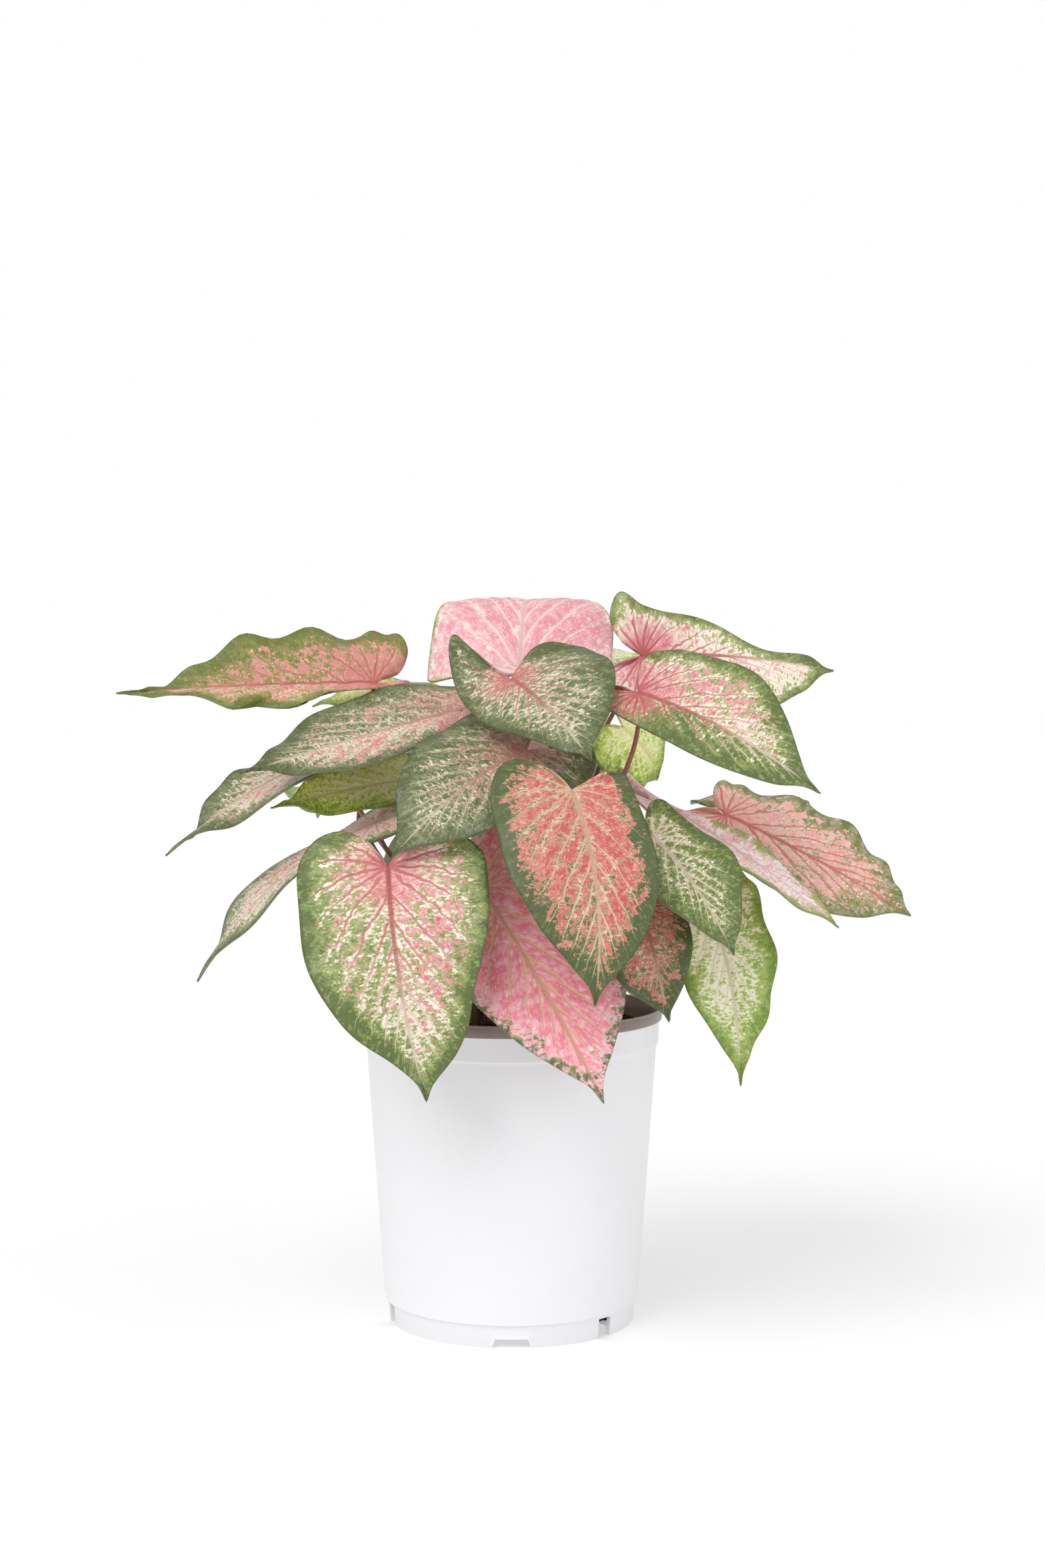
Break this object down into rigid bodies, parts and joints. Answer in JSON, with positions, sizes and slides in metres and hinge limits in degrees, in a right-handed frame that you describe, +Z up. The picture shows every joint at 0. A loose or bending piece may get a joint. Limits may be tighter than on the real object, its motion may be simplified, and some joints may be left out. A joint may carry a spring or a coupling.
{
  "type": "potted caladium",
  "caption": "Potted caladium with broad heart-shaped, wavy variegated leaves on slender stalks, rooted in soil in a round tapered nursery pot.",
  "frame": {"origin": "middle of the pot's foot, where the pot stands", "axes": "+Z up along the pot's axis, -Y towards the front of the plant, +X to the right seen from the front"},
  "size_m": [0.2942, 0.2021, 0.2752],
  "materials": {
    "cream_leaf": "satin leaf surface",
    "green_leaf": "satin leaf surface",
    "pink_leaf": "satin leaf surface",
    "coral_leaf": "satin leaf surface",
    "stalk": "smooth, slightly glossy stalk",
    "soil": "rough, crumbly",
    "pot": "satin moulded plastic, with a taupe rim band"
  },
  "bodies": {
    "root": {"blade_01": "cream_leaf", "blade_02": "cream_leaf", "blade_03": "cream_leaf", "blade_04": "green_leaf", "blade_05": "cream_leaf", "blade_06": "cream_leaf", "blade_07": "pink_leaf", "blade_08": "coral_leaf", "blade_09": "cream_leaf", "blade_10": "pink_leaf", "blade_11": "cream_leaf", "blade_12": "cream_leaf", "blade_13": "cream_leaf", "blade_14": "cream_leaf", "blade_15": "coral_leaf", "blade_16": "cream_leaf", "blade_17": "green_leaf", "blade_18": "coral_leaf", "blade_19": "green_leaf", "blade_20": "green_leaf", "blade_21": "green_leaf", "blade_22": "cream_leaf", "blade_23": "pink_leaf", "blade_24": "cream_leaf", "blade_25": "green_leaf", "blade_26": "coral_leaf", "blade_27": "cream_leaf", "stalk_01": "stalk", "stalk_02": "stalk", "stalk_03": "stalk", "stalk_04": "stalk", "stalk_05": "stalk", "stalk_06": "stalk", "stalk_07": "stalk", "stalk_08": "stalk", "stalk_09": "stalk", "stalk_10": "stalk", "stalk_11": "stalk", "stalk_12": "stalk", "stalk_13": "stalk", "stalk_14": "stalk", "stalk_15": "stalk", "stalk_16": "stalk", "stalk_17": "stalk", "stalk_18": "stalk", "stalk_19": "stalk", "stalk_20": "stalk", "stalk_21": "stalk", "stalk_22": "stalk", "stalk_23": "stalk", "stalk_24": "stalk", "stalk_25": "stalk", "stalk_26": "stalk", "stalk_27": "stalk", "soil": "soil", "pot": "pot"}
  },
  "joints": []
}
